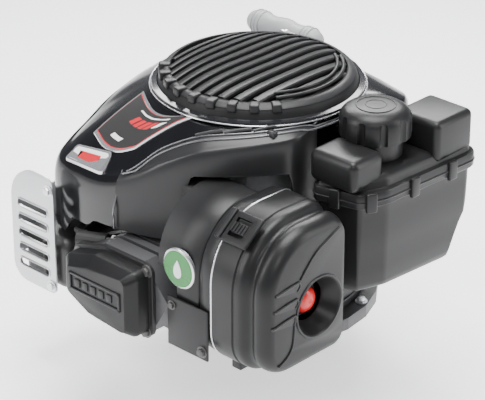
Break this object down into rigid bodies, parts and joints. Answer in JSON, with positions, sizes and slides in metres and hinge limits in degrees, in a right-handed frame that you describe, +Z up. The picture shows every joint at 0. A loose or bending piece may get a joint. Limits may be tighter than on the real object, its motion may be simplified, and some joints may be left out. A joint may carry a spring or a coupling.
{
  "type": "small petrol engine",
  "caption": "Vertical-shaft air-cooled petrol engine with recoil starter, side air cleaner, fuel tank and guarded muffler.",
  "frame": {"origin": "on the crankshaft axis in the plane of the mounting flange", "axes": "+Z up along the crankshaft away from the output shaft, -Y along the cylinder to the rocker cover, +X to the air cleaner and tank"},
  "size_m": [0.3283, 0.32, 0.298],
  "materials": {
    "gloss_black": "gloss",
    "satin_black": "satin",
    "cast_aluminium": "cast",
    "steel": "machined",
    "zinc": "zinc plated",
    "black_steel": "satin",
    "gasket": "matte",
    "filter_paper": "matte",
    "red_rubber": "satin",
    "black_rubber": "matte",
    "green_clamp": "satin",
    "ceramic": "glazed",
    "rope": "braided",
    "grey_plastic": "satin",
    "silver_trim": "satin"
  },
  "bodies": {
    "engine": {"oil_sump_flange": "cast_aluminium", "sump_gasket": "gasket", "crankcase_cylinder": "cast_aluminium", "head_gasket": "gasket", "cylinder_head": "cast_aluminium", "rocker_cover": "satin_black", "rocker_bridge": "steel", "spark_plug": "ceramic", "spark_plug_boot": "black_rubber", "spark_plug_lead": "black_rubber", "ignition_coil": "black_steel", "blower_housing": "gloss_black", "starter_cover": "satin_black", "rope_eyelet": "zinc", "badge_panel": "silver_trim", "muffler": "black_steel", "muffler_guard": "zinc", "intake_duct": "satin_black", "air_cleaner_base": "satin_black", "air_filter_element": "filter_paper", "carburettor": "cast_aluminium", "float_bowl": "zinc", "fuel_hose": "black_rubber", "hose_clamp": "green_clamp", "fuel_tank_lower": "satin_black", "fuel_tank_upper": "satin_black", "oil_fill_tube": "satin_black", "brake_bracket": "zinc", "intake_valve_spring": "steel", "exhaust_valve_spring": "steel"},
    "crankshaft": {"crankshaft_output_half": "steel", "crankshaft_flywheel_half": "steel", "crankshaft_gear": "steel", "flywheel": "cast_aluminium", "cooling_fan": "satin_black", "starter_cup": "zinc", "flywheel_nut": "zinc"},
    "camshaft": {"camshaft_and_gear": "steel"},
    "piston": {"piston": "cast_aluminium", "wrist_pin": "steel"},
    "rod": {"connecting_rod": "cast_aluminium", "crankpin": "steel"},
    "intake_valve": {"intake_valve": "steel"},
    "exhaust_valve": {"exhaust_valve": "steel"},
    "intake_rocker": {"intake_rocker_arm": "steel"},
    "exhaust_rocker": {"exhaust_rocker_arm": "steel"},
    "intake_pushrod": {"intake_pushrod": "steel"},
    "exhaust_pushrod": {"exhaust_pushrod": "steel"},
    "pulley": {"rope_pulley": "satin_black", "recoil_spring": "steel"},
    "grip": {"starter_grip": "grey_plastic", "starter_rope": "rope"},
    "primer": {"primer_bulb": "red_rubber"},
    "filter_cover": {"air_cleaner_cover": "satin_black"},
    "latch": {"filter_cover_latch": "satin_black"},
    "fuel_cap": {"fuel_cap": "satin_black"},
    "dipstick": {"dipstick": "satin_black"},
    "brake": {"flywheel_brake_lever": "black_steel"},
    "governor": {"governor_lever": "zinc"},
    "throttle": {"throttle_shaft": "steel"}
  },
  "joints": [
    {"name": "crankshaft_spin", "type": "hinge", "parent": "engine", "child": "crankshaft", "pos_m": [0, 0, 0], "axis": [0, 0, 1], "continuous": true},
    {"name": "camshaft_spin", "type": "hinge", "parent": "engine", "child": "camshaft", "pos_m": [-0.05, 0, 0], "axis": [0, 0, 1], "continuous": true},
    {"name": "piston_slide", "type": "slide", "parent": "engine", "child": "piston", "axis": [0, 1, 0], "range_m": [0, 0.04445]},
    {"name": "wrist_pin_swing", "type": "hinge", "parent": "piston", "child": "rod", "pos_m": [0, -0.11023, 0.069], "axis": [0, 0, 1], "range_deg": [-14.6, 14.6]},
    {"name": "intake_rocker_pivot", "type": "hinge", "parent": "engine", "child": "intake_rocker", "pos_m": [-0.0175, -0.181, 0.075], "axis": [0, 0, 1], "range_deg": [0, 9.91], "stiffness_Nm_per_rad": 4},
    {"name": "exhaust_rocker_pivot", "type": "hinge", "parent": "engine", "child": "exhaust_rocker", "pos_m": [-0.03, -0.181, 0.062], "axis": [0, 0, 1], "range_deg": [0, 17.05], "stiffness_Nm_per_rad": 2},
    {"name": "intake_valve_slide", "type": "slide", "parent": "engine", "child": "intake_valve", "axis": [0, 1, 0], "range_m": [0, 0.0052], "deforming": ["intake_valve_spring"]},
    {"name": "exhaust_valve_slide", "type": "slide", "parent": "engine", "child": "exhaust_valve", "axis": [0, 1, 0], "range_m": [0, 0.0052], "deforming": ["exhaust_valve_spring"]},
    {"name": "intake_pushrod_slide", "type": "slide", "parent": "engine", "child": "intake_pushrod", "axis": [0, -1, 0], "range_m": [0, 0.0052]},
    {"name": "exhaust_pushrod_slide", "type": "slide", "parent": "engine", "child": "exhaust_pushrod", "axis": [0, -1, 0], "range_m": [0, 0.0052]},
    {"name": "starter_pull", "type": "slide", "parent": "engine", "child": "grip", "axis": [0, 1, 0], "range_m": [0, 0.5], "deforming": ["starter_rope"]},
    {"name": "pulley_spin", "type": "hinge", "parent": "engine", "child": "pulley", "pos_m": [0, 0, 0.214], "axis": [0, 0, 1], "range_deg": [-600, 0]},
    {"name": "primer_press", "type": "slide", "parent": "engine", "child": "primer", "axis": [-1, 0, 0], "range_m": [0, 0.005], "stiffness_N_per_m": 600},
    {"name": "filter_cover_open", "type": "hinge", "parent": "engine", "child": "filter_cover", "pos_m": [0.108, -0.102, 0.025], "axis": [0, 1, 0], "range_deg": [0, 70]},
    {"name": "cover_latch_lift", "type": "hinge", "parent": "filter_cover", "child": "latch", "pos_m": [0.135, -0.14817, 0.15886], "axis": [0, 0.788, 0.6157], "range_deg": [0, 35]},
    {"name": "fuel_cap_turn", "type": "hinge", "parent": "engine", "child": "fuel_cap", "pos_m": [0.128, 0.011, 0.2], "axis": [0, 0, 1], "range_deg": [0, 120]},
    {"name": "dipstick_pull", "type": "slide", "parent": "engine", "child": "dipstick", "axis": [-0.4025, 0.1342, 0.9056], "range_m": [0, 0.1]},
    {"name": "brake_swing", "type": "hinge", "parent": "engine", "child": "brake", "pos_m": [0.066, 0.082, 0.135], "axis": [0, 0, 1], "range_deg": [-12, 0], "stiffness_Nm_per_rad": 1},
    {"name": "governor_swing", "type": "hinge", "parent": "engine", "child": "governor", "pos_m": [0.084, -0.022, 0.06], "axis": [0, 0, 1], "range_deg": [0, 20], "stiffness_Nm_per_rad": 0.3},
    {"name": "throttle_turn", "type": "hinge", "parent": "engine", "child": "throttle", "pos_m": [0.074, -0.145, 0.069], "axis": [0, 0, 1], "range_deg": [0, 60]}
  ],
  "couplings": [
    {"joint": "camshaft_spin", "follows": "crankshaft_spin", "ratio": -0.5},
    {"joint": "intake_valve_slide", "follows": "intake_rocker_pivot", "m_per_rad": 0.0295},
    {"joint": "intake_pushrod_slide", "follows": "intake_rocker_pivot", "m_per_rad": 0.0295},
    {"joint": "exhaust_valve_slide", "follows": "exhaust_rocker_pivot", "m_per_rad": 0.017},
    {"joint": "exhaust_pushrod_slide", "follows": "exhaust_rocker_pivot", "m_per_rad": 0.017},
    {"joint": "pulley_spin", "follows": "starter_pull", "rad_per_m": -20},
    {"joint": "throttle_turn", "follows": "governor_swing", "ratio": 3}
  ]
}
